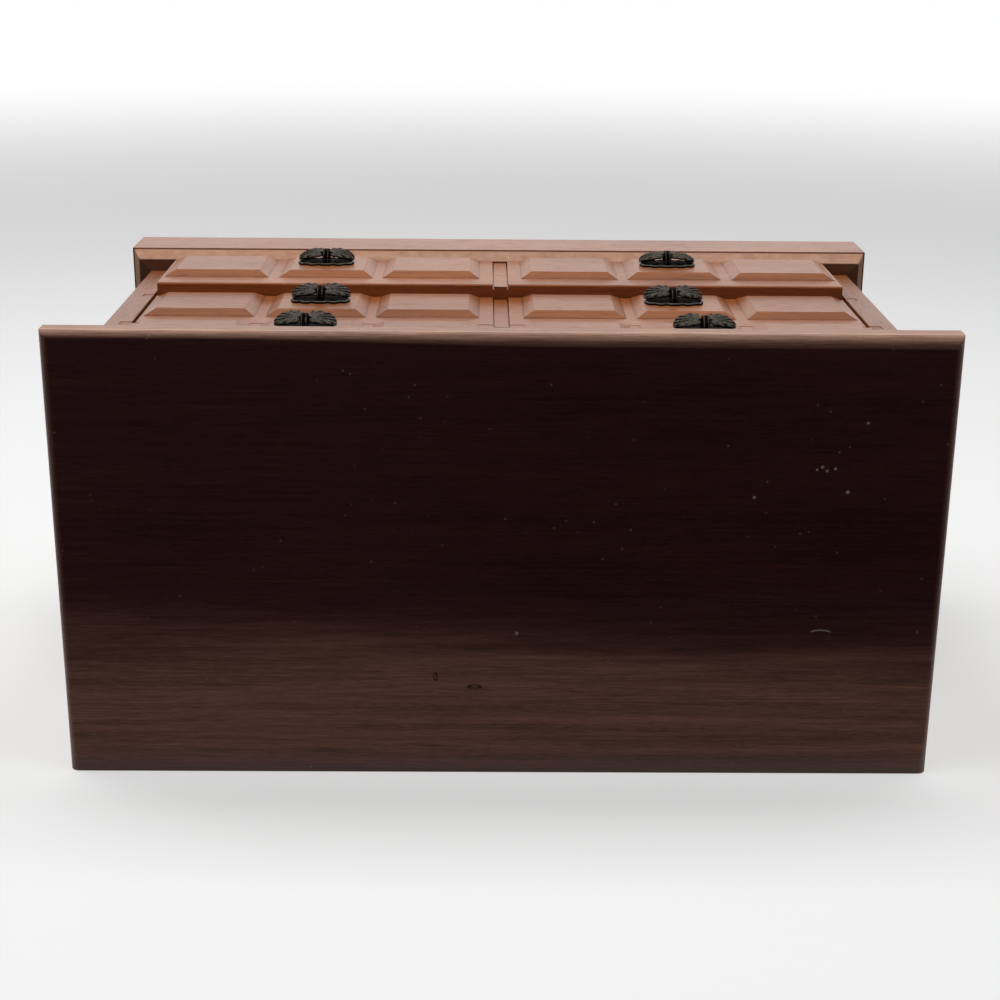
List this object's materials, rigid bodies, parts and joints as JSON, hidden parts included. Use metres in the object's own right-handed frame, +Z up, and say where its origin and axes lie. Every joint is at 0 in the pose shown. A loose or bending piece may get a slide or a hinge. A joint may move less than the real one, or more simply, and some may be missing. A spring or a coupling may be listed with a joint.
{
  "type": "musical jewelry box",
  "caption": "Wooden musical jewelry box with a mirrored lift-up lid over a lined compartment, raised-panel drawers with swinging bronze pulls, and a wind-up music movement with its key below.",
  "frame": {"origin": "Middle of the whole object's footprint, pulls included, on the surface it stands on.", "axes": "X to the right as seen from the front, Y to the back, Z up."},
  "size_m": [0.305, 0.1626, 0.1792],
  "materials": {
    "finished_wood": "satin lacquer, red-brown stain",
    "plain_wood": "bare, sanded",
    "velvet": "velvet pile",
    "mirror": "silvered glass",
    "antique_bronze": "dark patina, rubbed on the relief",
    "brass": "lightly aged",
    "steel": "satin",
    "cast_zinc": "cast, plain"
  },
  "bodies": {
    "case": {"case_side_left": "finished_wood", "case_side_right": "finished_wood", "case_back": "finished_wood", "base_board": "plain_wood", "dust_board": "plain_wood", "tray_floor": "plain_wood", "top_front": "finished_wood", "plinth_front": "finished_wood", "plinth_left": "finished_wood", "plinth_right": "finished_wood", "movement_wall": "plain_wood", "tray_floor_pad": "velvet", "tray_wall_linings": "velvet", "tray_divider": "velvet", "ring_rolls": "velvet", "top_pull_plates": "antique_bronze", "top_pull_loops": "antique_bronze", "hinge_case_leaves": "brass", "hinge_pins": "brass", "hinge_case_screws": "brass", "movement_bedplate": "cast_zinc", "movement_screws": "steel", "comb": "steel", "comb_screws": "steel", "spring_housing": "steel", "mainspring": "steel", "governor_frame": "steel"},
    "lid": {"lid_board": "finished_wood", "lid_lining": "velvet", "mirror": "mirror", "hinge_lid_leaves": "brass", "hinge_lid_screws": "brass"},
    "lower_drawer": {"lower_drawer_front": "finished_wood", "lower_drawer_side_left": "plain_wood", "lower_drawer_side_right": "plain_wood", "lower_drawer_back": "plain_wood", "lower_drawer_bottom": "plain_wood", "lower_drawer_lining": "velvet", "lower_pull_plates": "antique_bronze", "lower_pull_loops": "antique_bronze"},
    "middle_drawer": {"middle_drawer_front": "finished_wood", "middle_drawer_side_left": "plain_wood", "middle_drawer_side_right": "plain_wood", "middle_drawer_back": "plain_wood", "middle_drawer_bottom": "plain_wood", "middle_drawer_lining": "velvet", "middle_pull_plates": "antique_bronze", "middle_pull_loops": "antique_bronze"},
    "lower_pull_left": {"lower_pull_left": "antique_bronze"},
    "lower_pull_right": {"lower_pull_right": "antique_bronze"},
    "middle_pull_left": {"middle_pull_left": "antique_bronze"},
    "middle_pull_right": {"middle_pull_right": "antique_bronze"},
    "top_pull_left": {"top_pull_left": "antique_bronze"},
    "top_pull_right": {"top_pull_right": "antique_bronze"},
    "key": {"winding_key": "brass", "spring_arbor": "steel"},
    "cylinder": {"cylinder": "brass"},
    "governor_wheel": {"governor_wheel": "brass"},
    "governor_fly": {"governor_fly": "steel"},
    "stop_rod": {"stop_rod": "steel"}
  },
  "joints": [
    {"name": "lid_hinge", "type": "hinge", "parent": "case", "child": "lid", "pos_m": [0, 0.07827, 0.16925], "axis": [-1, 0, 0], "range_deg": [0, 96]},
    {"name": "lower_drawer_slide", "type": "slide", "parent": "case", "child": "lower_drawer", "axis": [0, -1, 0], "range_m": [0, 0.07]},
    {"name": "middle_drawer_slide", "type": "slide", "parent": "case", "child": "middle_drawer", "axis": [0, -1, 0], "range_m": [0, 0.105]},
    {"name": "lower_pull_left_swing", "type": "hinge", "parent": "lower_drawer", "child": "lower_pull_left", "pos_m": [-0.06645, -0.07902, 0.0475], "axis": [-1, 0, 0], "range_deg": [-3, 82]},
    {"name": "lower_pull_right_swing", "type": "hinge", "parent": "lower_drawer", "child": "lower_pull_right", "pos_m": [0.06895, -0.07902, 0.0475], "axis": [-1, 0, 0], "range_deg": [-9, 76]},
    {"name": "middle_pull_left_swing", "type": "hinge", "parent": "middle_drawer", "child": "middle_pull_left", "pos_m": [-0.06465, -0.07412, 0.0938], "axis": [-1, 0, 0], "range_deg": [-14, 71]},
    {"name": "middle_pull_right_swing", "type": "hinge", "parent": "middle_drawer", "child": "middle_pull_right", "pos_m": [0.06735, -0.07412, 0.0938], "axis": [-1, 0, 0], "range_deg": [-14, 71]},
    {"name": "top_pull_left_swing", "type": "hinge", "parent": "case", "child": "top_pull_left", "pos_m": [-0.07105, -0.07412, 0.1401], "axis": [-1, 0, 0], "range_deg": [-12, 73]},
    {"name": "top_pull_right_swing", "type": "hinge", "parent": "case", "child": "top_pull_right", "pos_m": [0.06885, -0.07412, 0.1401], "axis": [-1, 0, 0], "range_deg": [-14, 71]},
    {"name": "key_turn", "type": "hinge", "parent": "case", "child": "key", "pos_m": [-0.075, 0.05158, 0.02], "axis": [0, 0, 1], "continuous": true},
    {"name": "cylinder_turn", "type": "hinge", "parent": "case", "child": "cylinder", "pos_m": [-0.05, 0.05158, 0.0507], "axis": [1, 0, 0], "continuous": true},
    {"name": "governor_wheel_turn", "type": "hinge", "parent": "case", "child": "governor_wheel", "pos_m": [-0.035, 0.06132, 0.0507], "axis": [1, 0, 0], "continuous": true},
    {"name": "fly_turn", "type": "hinge", "parent": "case", "child": "governor_fly", "pos_m": [-0.033, 0.05588, 0.0507], "axis": [0, 0, 1], "continuous": true},
    {"name": "stop_rod_slide", "type": "slide", "parent": "case", "child": "stop_rod", "axis": [0, 0, 1], "range_m": [0, 0.003]}
  ],
  "couplings": [
    {"joint": "key_turn", "follows": "cylinder_turn", "ratio": 0.5},
    {"joint": "governor_wheel_turn", "follows": "cylinder_turn", "ratio": -4},
    {"joint": "fly_turn", "follows": "cylinder_turn", "ratio": 48},
    {"joint": "stop_rod_slide", "follows": "lid_hinge", "m_per_rad": 0.00179}
  ]
}
